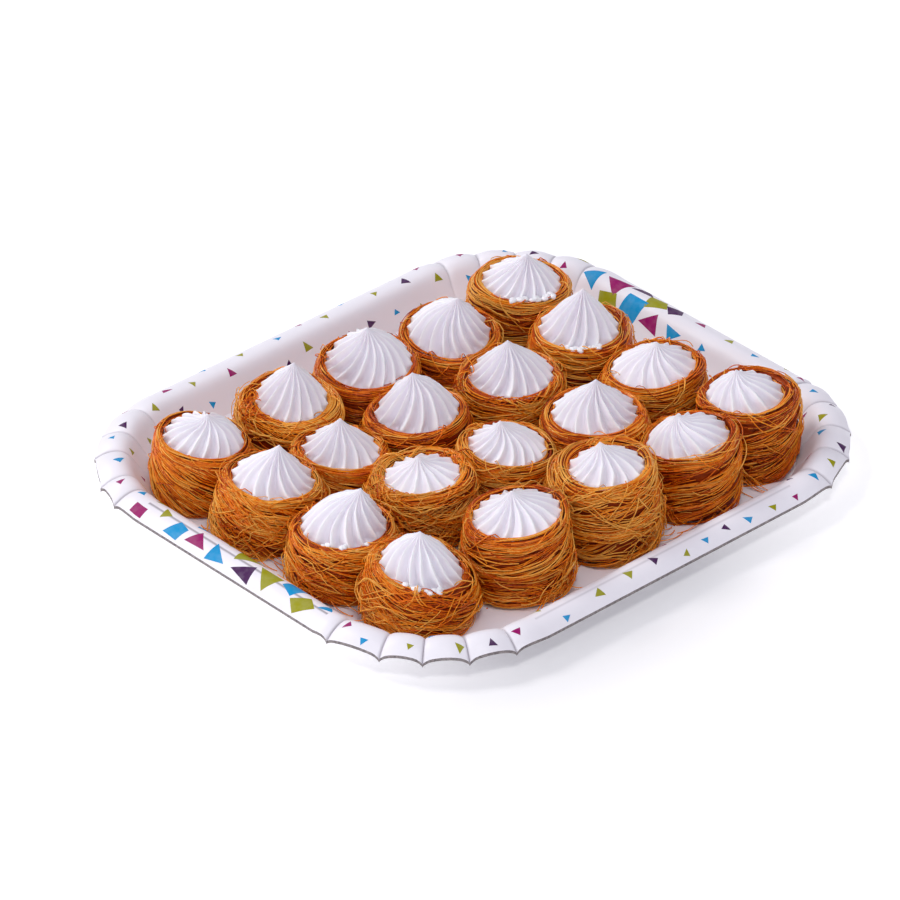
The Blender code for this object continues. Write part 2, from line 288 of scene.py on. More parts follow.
def shape_tree(name, inputs):
    """A Geometry Nodes tree with these named inputs, and the inputs as attributes."""
    tree = bpy.data.node_groups.new(name, "GeometryNodeTree")
    tree.interface.new_socket("Geometry", in_out="INPUT", socket_type="NodeSocketGeometry")
    for label, kind in inputs.items():
        tree.interface.new_socket(label, in_out="INPUT", socket_type=SOCKETS[kind])
    tree.interface.new_socket("Geometry", in_out="OUTPUT", socket_type="NodeSocketGeometry")
    start = tree.nodes.new("NodeGroupInput")
    given = SimpleNamespace()
    for socket in start.outputs[:-1]:
        setattr(given, socket.name.lower().replace(" ", "_"), Output(tree, socket))
    return tree, given


def finish_tree(shape, material):
    """Ends a tree: shades its shape smooth, makes it real and gives it the material."""
    tree = shape.tree
    shaded = put(tree, "GeometryNodeSetShadeSmooth", {"Geometry": shape})
    real = put(tree, "GeometryNodeRealizeInstances", {"Geometry": shaded})
    coated = put(tree, "GeometryNodeSetMaterial", {"Geometry": real, "Material": material})
    put(tree, "NodeGroupOutput", {"Geometry": coated})


def new_object(name, data):
    made = bpy.data.objects.new(name, data)
    bpy.context.scene.collection.objects.link(made)
    return made


def settled(holder):
    """The plain mesh of an object after its modifiers. The object goes."""
    graph = bpy.context.evaluated_depsgraph_get()
    mesh = bpy.data.meshes.new_from_object(holder.evaluated_get(graph))
    bpy.data.objects.remove(holder)
    return mesh


def grown(tree, base, values):
    """The plain mesh that the tree makes from base with these input values."""
    holder = new_object("holder", base)
    modifier = holder.modifiers.new("shape", "NODES")
    modifier.node_group = tree
    for item in tree.interface.items_tree:
        if item.in_out == "INPUT" and item.name in values:
            modifier[item.identifier] = values[item.name]
    return settled(holder)


# Helpers for meshes and pieces

def piece(name, mesh, slot, *nodes):
    made = new_object(name, mesh)
    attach(made, "root")
    if nodes:
        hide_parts(*nodes)


def mark(mesh, name, values):
    """Keeps a number for each point of the mesh in an attribute."""
    mesh.attributes.new(name, "FLOAT", "POINT").data.foreach_set("value", values)


def joined(name, meshes, materials):
    """One mesh from several. Each keeps its own material."""
    bm = bmesh.new()
    for mesh in meshes:
        finish = materials.index(mesh.materials[0])
        start = len(bm.faces)
        bm.from_mesh(mesh)
        bm.faces.ensure_lookup_table()
        for face in bm.faces[start:]:
            face.material_index = finish
    made = bpy.data.meshes.new(name)
    bm.to_mesh(made)
    bm.free()
    for material in materials:
        made.materials.append(material)
    return made


def grid_faces(rows, columns):
    """Faces of a tube of rows of points, facing out when the rows climb and run anticlockwise."""
    faces = []
    for r in range(rows - 1):
        for j in range(columns):
            k = (j + 1) % columns
            low, high = r * columns, (r + 1) * columns
            faces.append((low + j, low + k, high + k, high + j))
    return faces


def tube_mesh(name, rows, material, caps=True):
    """A mesh through rows of points in mm, closed by flat caps."""
    count, columns = len(rows), len(rows[0])
    faces = grid_faces(count, columns)
    if caps:
        faces.append(tuple(range(columns))[::-1])
        faces.append(tuple((count - 1) * columns + j for j in range(columns)))
    mesh = bpy.data.meshes.new(name)
    points = (np.concatenate(rows) * MM).tolist()
    mesh.from_pydata(points, [], faces)
    mesh.materials.append(material)
    mesh.shade_smooth()
    return mesh


# Materials

def finish(name, roughness, specular=0.5, colour=(0.8, 0.8, 0.8)):
    """A material with its tree and shader."""
    made = bpy.data.materials.new(name)
    made.use_nodes = True
    shader = made.node_tree.nodes["Principled BSDF"]
    shader.inputs["Base Color"].default_value = (*colour, 1.0)
    shader.inputs["Roughness"].default_value = roughness
    shader.inputs["Specular IOR Level"].default_value = specular
    return made, made.node_tree, shader


def object_place(tree):
    return put(tree, "ShaderNodeTexCoord", output="Object")


def attribute(tree, name):
    return put(tree, "ShaderNodeAttribute", output="Fac", attribute_name=name)


def coloured(shader, share, stops):
    """Colours the shader by a ramp over share."""
    node = share.tree.nodes.new("ShaderNodeValToRGB")
    share.into(node.inputs[0])
    while len(node.color_ramp.elements) < len(stops):
        node.color_ramp.elements.new(0.5)
    for element, (place, colour) in zip(node.color_ramp.elements, stops):
        element.position = place
        element.color = (*colour, 1.0)
    share.tree.links.new(node.outputs[0], shader.inputs["Base Color"])


def bump(shader, height, depth):
    raised = put(height.tree, "ShaderNodeBump", {"Height": height, "Distance": depth * MM})
    raised.into(shader.inputs["Normal"])


def strand_finish():
    made, tree, shader = finish("golden strands", 0.26, specular=0.7)
    shader.inputs["Specular Tint"].default_value = (1.0, 0.72, 0.4, 1.0)
    place = object_place(tree)
    # The tone holds each strand's own browning plus painted shade for strands lying lower.
    share = attribute(tree, "tone") + place.cloud(70.0, 2.0) * 0.8 + place.cloud(700.0) * 0.4
    coloured(shader, share, [
        (0.05, (0.24, 0.015, 0.0004)),
        (0.3, (0.56, 0.064, 0.0008)),
        (0.56, (0.87, 0.17, 0.002)),
        (0.78, (1.0, 0.32, 0.014)),
        (1.0, (1.0, 0.49, 0.085)),
    ])
    return made


# The core under the wound strands is painted dark brown: painted shade seen through the gaps between
# strands.
def shaded_core_finish():
    made, tree, shader = finish("deep strands in painted shade", 0.5)
    shader.inputs["Specular Tint"].default_value = (1.0, 0.6, 0.3, 1.0)
    flat = put(tree, "ShaderNodeMapping", {"Vector": object_place(tree), "Scale": (0.25, 0.25, 1.6)})
    lines = flat.cloud(900.0, 2.0)
    coloured(shader, lines + 0.5, [(0.3, (0.13, 0.009, 0.0003)), (0.7, (0.46, 0.052, 0.001))])
    bump(shader, lines, 0.5)
    return made


def cream_finish():
    made, tree, shader = finish("whipped cream", 0.38)
    valley = attribute(tree, "valley")
    # Painted shade: the grooves between the ridges are coloured darker and lilac, the crests paler.
    coloured(shader, valley, [(0.15, (0.98, 0.965, 0.99)), (0.75, (0.865, 0.83, 0.9))])
    shader.inputs["Subsurface Weight"].default_value = 0.25
    shader.inputs["Subsurface Radius"].default_value = (1.0, 0.8, 0.85)
    shader.inputs["Subsurface Scale"].default_value = 1.2 * MM
    bump(shader, object_place(tree).cloud(1400.0, 2.0), 0.06)
    return made


def board_finish():
    made, tree, shader = finish("coated board", 0.42, specular=0.35)
    # The board is painted dark grey in the creases and in the lines along two sides: painted shade.
    coloured(shader, attribute(tree, "fold_shade"), [(0.0, (0.925, 0.905, 0.95)), (1.0, (0.2, 0.165, 0.2))])
    bump(shader, object_place(tree).cloud(120.0, 3.0), 0.25)
    return made


def cut_finish():
    made, tree, shader = finish("cut edge", 0.8)
    fibre = object_place(tree).cloud(700.0, 3.0) + 0.5
    coloured(shader, fibre, [(0.3, (0.14, 0.12, 0.125)), (0.7, (0.36, 0.32, 0.31))])
    return made


def ink_finish(name, colour):
    made, tree, shader = finish(f"{name} ink", 0.5, specular=0.15)
    worn = object_place(tree).cloud(250.0, 3.0) + 0.5
    pale = tuple(channel + (0.85 - channel) * 0.08 for channel in colour)
    coloured(shader, worn, [(0.35, colour), (0.75, pale)])
    return made


# Tray

def spread(values, steps):
    """A smooth curve through the values, with this many steps between two of them."""
    ends = [2 * values[0] - values[1], *values, 2 * values[-1] - values[-2]]
    curve = []
    for before, here, there, after in zip(ends, ends[1:], ends[2:], ends[3:]):
        for t in np.arange(steps) / steps:
            lead = (there - before) / 2
            tail = (after - here) / 2
            curve.append(
                here + lead * t + (3 * (there - here) - 2 * lead - tail) * t**2
                + (2 * (here - there) + lead + tail) * t**3
            )
    return np.array([*curve, values[-1]])


RIM_STEPS = 6
LOBE_COLUMNS = 16
SIDE_COLUMNS = 12
STOPS_DRAWN = 0.11  # how far a lobe's columns are drawn towards its creases
# Painted shade on the board's upper face: dark lines in the corners' creases and along two sides
CREASE_SHADE_WIDE = 0.55
CREASE_SHADE = 0.5
RIM_FOLD_SHADES = {3: 0.8, 5: 0.3}  # painted shade in lines along the near short side and the near long side, how dark
FOLD_SHADE_ROW = 10  # the row of the rim's upper face that holds these painted shade lines
RIM_INSET = spread([point[0] for point in RIM], RIM_STEPS)
RIM_HEIGHT = spread([point[1] for point in RIM], RIM_STEPS)
RIM_LOBE = np.interp(RIM_INSET, [point[0] for point in RIM], LOBE_SHARE)
HALF_X = TRAY_LONG / 2 - TRAY_CORNER
HALF_Y = TRAY_SHORT / 2 - TRAY_CORNER
ARC = math.pi / 2 * TRAY_CORNER
STRETCHES = [ARC, 2 * HALF_X, ARC, 2 * HALF_Y] * 2  # anticlockwise from +X
AROUND = sum(STRETCHES)
STARTS = np.cumsum([0.0, *STRETCHES[:-1]]).tolist()
CREASE_PLACES = [
    start + ARC * turn / 90 for start, turns in zip(STARTS[::2], CREASES) for turn in turns
]


def edge_at(s):
    """The outer edge at a distance s along it: point, way out, a lobe's lift and a crease's reach."""
    s %= AROUND
    number = 0
    while s > STRETCHES[number]:
        s -= STRETCHES[number]
        number += 1
    corner = number // 2
    side_x, side_y = [(1, 1), (-1, 1), (-1, -1), (1, -1)][corner]
    middle = np.array((side_x * HALF_X, side_y * HALF_Y))
    turn = 90 * s / ARC if number % 2 == 0 else 90
    angle = math.radians(90 * corner + turn)
    out = np.array((math.cos(angle), math.sin(angle)))
    if number % 2:
        along = np.array((-out[1], out[0]))
        return middle + out * TRAY_CORNER + along * s, out, 0.0, 0.0
    stops = (0, *CREASES[corner], 90)
    high = min(stop for stop in stops[1:] if stop >= turn)
    low = max(stop for stop in stops if stop < high)
    phase = (turn - low) / (high - low)
    nearest = low if phase < 0.5 else high
    share = min(1.0, nearest / FULL_REACH, (90 - nearest) / FULL_REACH)
    swell = END_SWELL if low == 0 or high == 90 else LOBE_SWELL
    lobe = max(math.sin(math.pi * phase), 0.0)
    if share == 0:
        return middle + out * TRAY_CORNER, out, swell * lobe, 0.0
    lobe **= LOBE_ROUND
    off = math.radians(turn - nearest) * TRAY_CORNER / CREASE_WIDE
    rise = swell * lobe - CREASE_DIP * (1 - lobe)
    return middle + out * TRAY_CORNER, out, rise, CREASE_REACH * share * math.exp(-off * off)


def rim_place(s, inset, height, lobe):
    edge, out, rise, reach = edge_at(s)
    at = edge - out * (inset - reach * lobe)
    return np.array((at[0], at[1], max(height + rise * lobe, 0.0)))


def tray_stops():
    """Distances along the edge, closer together beside the creases."""
    stops = []
    for number, (start, length) in enumerate(zip(STARTS, STRETCHES)):
        if number % 2:
            stops += list(start + np.linspace(0.0, length, SIDE_COLUMNS)[:-1])
            continue
        turns = (0, *CREASES[number // 2], 90)
        for low, high in zip(turns, turns[1:]):
            for t in np.arange(LOBE_COLUMNS) / LOBE_COLUMNS:
                turn = low + (high - low) * (t - math.sin(2 * math.pi * t) * STOPS_DRAWN)
                stops.append(start + length * turn / 90)
    return stops


def fold_shade_at(s, row):
    """How dark the upper face is painted: shade in the corners' creases and in a line along two sides.
    """
    for side, dark in RIM_FOLD_SHADES.items():
        if row == FOLD_SHADE_ROW and STARTS[side] <= s <= STARTS[side] + STRETCHES[side]:
            return dark
    nearest = min(abs(s - place) for place in CREASE_PLACES)
    return CREASE_SHADE * math.exp(-((nearest / CREASE_SHADE_WIDE) ** 2)) * RIM_LOBE[row]


def tray_piece():
    stops = tray_stops()
    along = np.gradient(RIM_INSET), np.gradient(RIM_HEIGHT)
    length = np.hypot(*along)
    under_inset = RIM_INSET + along[1] / length * BOARD
    under_height = np.maximum(RIM_HEIGHT - along[0] / length * BOARD, 0.0)
    under_inset[0], under_height[0] = RIM_INSET[0], RIM_HEIGHT[0] - CUT_EDGE
    under_height[-1] = 0.0
    under = [*zip(under_inset, under_height, RIM_LOBE)][::-1]
    section = under + [*zip(RIM_INSET, RIM_HEIGHT, RIM_LOBE)]
    rows = [np.array([rim_place(s, *point) for s in stops]) for point in section]
    mesh = tube_mesh("board_tray", rows, board_finish())
    mesh.materials.append(cut_finish())
    columns = len(stops)
    edge = len(under) - 1
    for face in mesh.polygons[edge * columns:(edge + 1) * columns]:
        face.material_index = 1
    mesh.set_sharp_from_angle(angle=math.radians(50))
    # Painted shade for the creases and the lines along two sides; the underside gets none.
    fold_shades = [fold_shade_at(s, row) for row in range(len(RIM_INSET)) for s in stops]
    mark(mesh, "fold_shade", [0.0] * len(fold_shades) + fold_shades)
    piece("board_tray", mesh, "board", "tray")


# Print

RIM_RUN = np.concatenate([[0.0], np.cumsum(np.hypot(np.diff(RIM_INSET), np.diff(RIM_HEIGHT)))])
PRINTED = (1.2, RIM_RUN[-1] - 4.0)  # the print's band, measured along the rim's upper face


def rim_top(s, run):
    """A point of the tray's upper face, this far along it from the outer edge."""
    curves = (RIM_INSET, RIM_HEIGHT, RIM_LOBE)
    return rim_place(s, *(np.interp(run, RIM_RUN, curve) for curve in curves))


def motif_size(s):
    """How large the motifs are at a place on the edge: up to 1 in the two clusters."""
    size = 0.0
    for side, y, reach in MOTIF_CLUSTERS:
        middle = y - HALF_Y if side > 0 else STARTS[3] + HALF_Y - y
        off = abs((s - middle + AROUND / 2) % AROUND - AROUND / 2)
        size += math.exp(-((off / reach) ** 4))
    return size


def motifs():
    """Scattered triangles and a few quadrilaterals: corners along and across the rim, and ink."""
    rng = random.Random(SEED)
    placed = []
    for _ in range(MOTIF_TRIES):
        s = rng.uniform(0.0, AROUND)
        large = motif_size(s)
        radius = (MOTIF_SMALL + MOTIF_LARGE * large) * rng.uniform(0.65, 1.0)
        run = rng.uniform(PRINTED[0] + 0.6 * radius, PRINTED[1] - 0.6 * radius)
        if any(abs(s - crease) < radius + 0.4 for crease in CREASE_PLACES):
            continue
        gap = MOTIF_GAP + MOTIF_SPACE * (1 - large)
        others = [(math.hypot(s - other[0], run - other[1]), *other[2:]) for other in placed]
        if any(off < MOTIF_CLOSE * (radius + size) + gap for off, size, _ in others):
            continue
        corners = 4 if radius > FOUR_CORNERS and rng.random() < 0.3 else 3
        first = rng.uniform(0.0, 2 * math.pi)
        shape = []
        for k in range(corners):
            angle = first + 2 * math.pi * k / corners + rng.uniform(-0.3, 0.3)
            reach = radius * rng.uniform(0.82, 1.1)
            at = run + reach * math.sin(angle)
            along = reach * math.cos(angle) * (1 + (MOTIF_LONG - 1) * large)
            shape.append((s + along, min(max(at, PRINTED[0]), PRINTED[1])))
        ink = rng.choice(INK_SHARE)
        near = {other for off, _, other in others if off < INK_APART}
        if ink in near:
            ink = next((other for other in INK_ORDER if other not in near), ink)
        placed.append((s, run, radius, ink))
        yield shape, ink


def film_mesh(name, shapes, material):
    """Thin closed films on the rim, one for each shape, cut small enough to follow it."""
    tops, faces, found = [], [], {}

    def corner(s, run):
        key = (round(s, 3), round(run, 3))
        if key not in found:
            found[key] = len(tops)
            tops.append(key)
        return found[key]

    for shape in shapes:
        middle = np.mean(shape, axis=0)
        for a, b in zip(shape, shape[1:] + shape[:1]):
            steps = max(2, round(math.dist(a, b) / FILM_STEP))
            a, b = np.array(a), np.array(b)

            def grid(i, j):
                return corner(*(middle + (a - middle) * i / steps + (b - middle) * j / steps))

            for i in range(steps):
                for j in range(steps - i):
                    faces.append((grid(i, j), grid(i + 1, j), grid(i, j + 1)))
                    if i + j < steps - 1:
                        faces.append((grid(i + 1, j), grid(i + 1, j + 1), grid(i, j + 1)))
    upper, lower = [], []
    for s, run in tops:
        here = rim_top(s, run)
        way = np.cross(rim_top(s + 0.2, run) - here, rim_top(s, run + 0.2) - here)
        way /= np.linalg.norm(way)
        upper.append((here + way * FILM) * MM)
        lower.append((here - way * FILM * 2) * MM)
    count = len(tops)
    edges = {(face[k], face[(k + 1) % 3]) for face in faces for k in range(3)}
    sides = [(b, a, a + count, b + count) for a, b in sorted(edges) if (b, a) not in edges]
    under = [tuple(k + count for k in face[::-1]) for face in faces]
    mesh = bpy.data.meshes.new(name)
    mesh.from_pydata([*map(tuple, upper), *map(tuple, lower)], [], faces + under + sides)
    mesh.materials.append(material)
    return mesh


def print_pieces():
    shapes = {ink: [] for ink in INKS}
    for shape, ink in motifs():
        shapes[ink].append(shape)
    for ink, colour in INKS.items():
        mesh = film_mesh(f"print_{ink}", shapes[ink], ink_finish(ink, colour))
        piece(f"print_{ink}", mesh, "board")


# Nests

def crest_height(nest, x, y):
    rise = (nest.rise[0] * (x - nest.x) + nest.rise[1] * (y - nest.y)) / nest.crest
    return BOARD + GAP + nest.high + rise


def smoothed(values, reach):
    """The values round a circle, each blended with those beside it."""
    steps = np.arange(-3 * reach, 3 * reach + 1)
    weights = np.exp(-0.5 * (steps / reach) ** 2)
    return sum(weight * np.roll(values, step) for step, weight in zip(steps, weights)) / weights.sum()


def nest_rows(name):
    """The nest's outline from its foot over its crest to its seat, as rows of points."""
    nest = NESTS[name]
    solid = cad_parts[f"nest_{name}"].data
    faces = [tuple(face.vertices) for face in solid.polygons]
    tree = BVHTree.FromPolygons([vert.co / MM for vert in solid.vertices], faces)
    angles = 2 * math.pi * np.arange(COLUMNS) / COLUMNS
    ways = np.stack([np.cos(angles), np.sin(angles)], axis=1)
    middle = np.array((nest.x, nest.y))
    base = BOARD + GAP
    tops = crest_height(nest, *(middle + ways * nest.crest).T)
    rows = []
    for share in np.linspace(*WALL_SHARES, WALL_ROWS):
        heights = base + share * (tops - base)
        radii = []
        for way, height in zip(ways, heights):
            start = middle + 2.0 * nest.body * way
            hit = tree.ray_cast((*start, height), (*-way, 0.0))[0]
            radii.append(math.hypot(hit.x - nest.x, hit.y - nest.y) if hit else nest.crest)
        radii = smoothed(radii, 2) - SKIN_INSET
        for j, (way, height) in enumerate(zip(ways, heights)):
            radii[j] += BUNDLE * noise.noise((*(way * 1.1 + middle), height / BUNDLE_HIGH))
        rows.append(np.column_stack([middle + radii[:, None] * ways, heights]))
    seat = middle + nest.cream
    bore = nest.wide + SEAT_PLAY - BORE_INSET
    outer = rows[-1][:, :2]
    across = seat + ways * bore - outer
    shoulder = crest_height(nest, *outer.T) - rows[-1][:, 2]
    for turn in (0.16, 0.33, 0.5, 0.67, 0.84, 1.0):
        flat = outer + across * ((1 - math.cos(math.pi * turn)) / 2)
        drop = (shoulder if turn < 0.5 else SEAT_LIP) * (1 - math.sin(math.pi * turn))
        wave = [CREST_WAVE * noise.noise((way[0] * 2.2 + nest.x, way[1] * 2.2, nest.y)) for way in ways]
        rows.append(np.column_stack([flat, crest_height(nest, *flat.T) - drop - SKIN_INSET + wave]))
    for drop, taper in ((2.6, 0.1), (3.6, 0.4)):
        flat = seat + ways * (bore - taper)
        rows.append(np.column_stack([flat, crest_height(nest, *flat.T) - drop - SKIN_INSET]))
    return rows


def steps_up(rows):
    return [np.linalg.norm(high - low, axis=1).mean() for low, high in zip(rows, rows[1:])]


def skin_mesh(name, rows, material):
    """The wound surface as an open grid, with a UV map round and up it and each point's way out."""
    mesh = tube_mesh(name, rows, material, caps=False)
    climb = np.concatenate([[0.0], np.cumsum(steps_up(rows))])
    climb /= climb[-1]
    uv = mesh.uv_layers.new(name="wind")
    columns = len(rows[0])
    coords = []
    for r in range(len(rows) - 1):
        for j in range(columns):
            left, right = j / columns, (j + 1) / columns
            coords += [left, climb[r], right, climb[r], right, climb[r + 1], left, climb[r + 1]]
    uv.data.foreach_set("uv", coords)
    out = mesh.attributes.new("out", "FLOAT_VECTOR", "POINT")
    out.data.foreach_set("vector", [c for v in mesh.vertices for c in v.normal])
    return mesh


def winding_tree():
    """Strands that follow a surface by its UV map, which runs round it and climbs it."""
    tree, given = shape_tree("wind strands", {
        "Strands": int, "Points": int, "Bundle": int, "Pitch": float, "Seed": int, "Thickness": float,
        "Low": float, "High": float, "Side": float, "Reach": float,
        "Shortest": float, "Longest": float, "Tilt": float, "Spread": float, "Drift": float,
        "Wobble": float, "Arch": float, "Curl": float, "Lift": float, "Lift spread": float,
        "Stand": float, "Gold": float, "Finish": str,
    })
    line = put(tree, "GeometryNodeCurvePrimitiveLine", {"End": (1.0, 0.0, 0.0)})
    fine = put(tree, "GeometryNodeResampleCurve", {"Curve": line, "Count": given.points})
    sockets = {"Geometry": fine, "Amount": given.strands}
    many = put(tree, "GeometryNodeDuplicateElements", sockets, domain="SPLINE")
    along = put(tree, "GeometryNodeSplineParameter", output="Factor")
    one = put(tree, "GeometryNodeCurveOfPoint", output="Curve Index")
    seed = given.seed
    size = given.bundle
    bundle = ((one + 0.5) / size).math("FLOOR")
    in_bundle = one - bundle * size

    own = given.side + bundle.drawn(-0.5, 0.5, seed + 1) * given.reach
    own = own + one.drawn(-0.035, 0.035, seed + 11)
    span = bundle.drawn(given.shortest, given.longest, seed + 2) * one.drawn(0.7, 1.1, seed + 12)
    travel = (along - 0.5) * span
    curl = (along * (2 * math.pi)).math("SINE") * given.curl
    turn = (own + travel + curl).math("FRACT")

    order = (bundle + bundle.drawn(0.0, 1.0, seed + 3)) * size
    level = (order / given.strands).mix(given.low, given.high)
    beside = in_bundle - (size - 1.0) / 2.0
    level = level + beside * given.pitch * one.drawn(0.7, 1.3, seed + 13)
    strays = bundle.drawn(-1.0, 1.0, seed + 4) + one.drawn(-0.22, 0.22, seed + 14)
    slope = given.tilt * (1.2 - level) + given.spread * strays
    circle = turn * (2 * math.pi)
    ring = vector(circle.math("COSINE"), circle.math("SINE"), level * 4.0 + seed)
    flow = ring.cloud(1.3) * given.drift * 2.0
    lane = one * 13.7
    shake = vector(along * 1.5, lane, seed).cloud(1.6, 2.0)
    bow = (along * math.pi).math("SINE")
    bent = bundle.drawn(-1.0, 1.0, seed + 5) + one.drawn(-0.15, 0.15, seed + 15)
    climb = level + slope * travel + flow + shake * given.wobble + bow * given.arch * bent
    climb = climb.math("SMOOTH_MAX", 0.012, 0.08).math("SMOOTH_MIN", 0.99, 0.02)

    spot = vector(turn.between(0.0001, 0.9999), climb.between(0.001, 0.999), 0.0)
    uv, way = (
        put(tree, "GeometryNodeInputNamedAttribute", {"Name": name}, data_type="FLOAT_VECTOR")
        for name in ("wind", "out")
    )
    on_skin, outward = (
        put(
            tree, "GeometryNodeSampleUVSurface",
            {"Mesh": given.geometry, "Value": value, "UV Map": uv, "Sample UV": spot},
            data_type="FLOAT_VECTOR",
        )
        for value in (put(tree, "GeometryNodeInputPosition"), way)
    )
    loose = bow * given.stand * one.drawn(0.2, 1.0, seed + 6)
    jitter = vector(along * 2.0, lane, 5.0).cloud(2.0) * (0.5 * MM)
    above = bundle.drawn(0.0, 0.7, seed + 7) + one.drawn(0.0, 0.3, seed + 17)
    lift = given.lift + given.lift_spread * above + loose + jitter
    raised = put(tree, "ShaderNodeVectorMath", {0: outward, 3: lift}, operation="SCALE")
    x, y, z = vector_math("ADD", on_skin, raised).parts()
    place = vector(x, y, z.math("MAXIMUM", (BOARD + STRAND) * MM))
    laid = put(tree, "GeometryNodeSetPosition", {"Geometry": many, "Position": place})
    thick = one.drawn(0.65, 1.2, seed + 8)
    sized = put(tree, "GeometryNodeSetCurveRadius", {"Curve": laid, "Radius": thick})

    shade = given.gold + one.drawn(-TONE_SPREAD, TONE_SPREAD, seed + 9)
    # Painted shade: strands that lie lower, closer to the core, get a darker tone.
    shade = shade + bundle.drawn(-TONE_BUNDLE, TONE_BUNDLE, seed + 19) + (above - 0.5) * DEPTH_SHADE
    sockets = {"Resolution": 3, "Radius": given.thickness}
    profile = put(tree, "GeometryNodeCurvePrimitiveCircle", sockets)
    solid = put(tree, "GeometryNodeCurveToMesh", {
        "Curve": stored(sized, "tone", shade), "Profile Curve": profile, "Fill Caps": True,
        "Scale": put(tree, "GeometryNodeInputRadius"),
    })
    finish_tree(solid, given.finish)
    return tree


def nest_piece(name, number, tree, strands, core):
    rows = nest_rows(name)
    skin = skin_mesh("skin", rows, strands)
    way = np.array([v.normal for v in skin.vertices]).reshape(len(rows), -1, 3)
    inside = [row - side * CORE_INSET for row, side in zip(rows, way)]
    # The dark core stands for the shade between and under the strands.
    meshes = [tube_mesh("core", inside, core)]
    wound = WINDINGS[name]
    outline = sum(steps_up(rows))
    per_turn = 2 * math.pi * NESTS[name].body / outline
    tilt = math.tan(math.radians(wound.slope)) * per_turn
    spread = math.tan(math.radians(wound.spread)) * per_turn
    longest = min(LONGEST_TURN, LONGEST_CLIMB / max(abs(tilt), 0.1))
    many = round(WIND_COVER / (0.75 * longest))
    common = {
        "Finish": strands, "Thickness": STRAND * MM, "Gold": wound.gold, "Drift": wound.drift,
        "Pitch": PITCH / outline, "Side": 1.5, "Reach": 1.0,
    }
    layers = [
        {"Strands": many, "Points": max(9, round(38 * longest)), "Bundle": 6, "Low": 0.0, "High": 0.8,
         "Shortest": 0.5 * longest, "Longest": longest, "Tilt": tilt, "Spread": spread, "Wobble": 0.035,
         "Arch": 0.04, "Lift spread": 1.6 * MM},
        {"Strands": 64, "Points": 24, "Bundle": 4, "Low": 0.76, "High": 0.99, "Shortest": 0.35,
         "Longest": 0.7, "Spread": 0.15, "Wobble": 0.04, "Lift spread": 0.9 * MM, "Drift": 0.02,
         "Gold": wound.gold + 0.05},
        {"Strands": 14 + wound.strays, "Points": 9, "Bundle": 1, "Low": 0.04, "High": 0.94,
         "Shortest": 0.04, "Longest": 0.16, "Spread": 4.0, "Wobble": 0.05, "Lift": 0.8 * MM,
         "Lift spread": 1.0 * MM, "Stand": 1.2 * MM, "Gold": wound.gold + 0.08},
        {"Strands": 2 * wound.loops, "Points": 22, "Bundle": 2, "Low": 0.08, "High": 0.86,
         "Shortest": 0.1, "Longest": 0.36, "Spread": 1.2, "Wobble": 0.06, "Arch": 0.2, "Curl": 0.012,
         "Lift": 0.9 * MM, "Lift spread": 0.6 * MM, "Stand": 2.4 * MM, "Gold": wound.gold + 0.18},
    ]
    for count, side, reach, low, high in TANGLES.get(name, ()):
        layers.append({
            "Strands": count, "Points": 18, "Bundle": 2, "Low": low, "High": high,
            "Side": 1 + side / 360, "Reach": reach / 360, "Shortest": 0.06, "Longest": 0.2,
            "Spread": 3.0, "Wobble": 0.07, "Arch": 0.24, "Curl": 0.012, "Lift": 0.9 * MM,
            "Lift spread": 1.2 * MM, "Stand": 2.6 * MM, "Gold": wound.gold + 0.14,
        })
    for k, layer in enumerate(layers):
        meshes.append(grown(tree, skin, {**common, **layer, "Seed": SEED + 100 * number + 10 * k}))
    mesh = joined(f"wound_{name}", meshes, [strands, core])
    piece(f"wound_{name}", mesh, "pastry", f"nest_{name}")


# Cream

SKIRT = 0.9  # the cone's outer tenth becomes the side under the cream's scalloped edge
GROOVE_TOP = 0.35  # depth of the grooves as a share of the local radius, near the tip
GROOVE_EDGE = 0.15
RIDGE_UNEVEN = 0.4
RIDGE_SWAY = 5.0  # radians of a ridge's own turn; the ridges are not evenly spaced
FULL_LIFT = 17.0  # lower creams have shallower grooves
SCALLOP = 2.4
EDGE_RAISE = 1.1  # the scalloped edge lies on the pastry
CREAM_SPILL = 0.5  # the foot spreads this far, up to the pastry
HOOK = 0.14  # radians by which a ridge bends back near the edge
RIDGE_COLUMNS = 12
CREAM_ROWS = 40


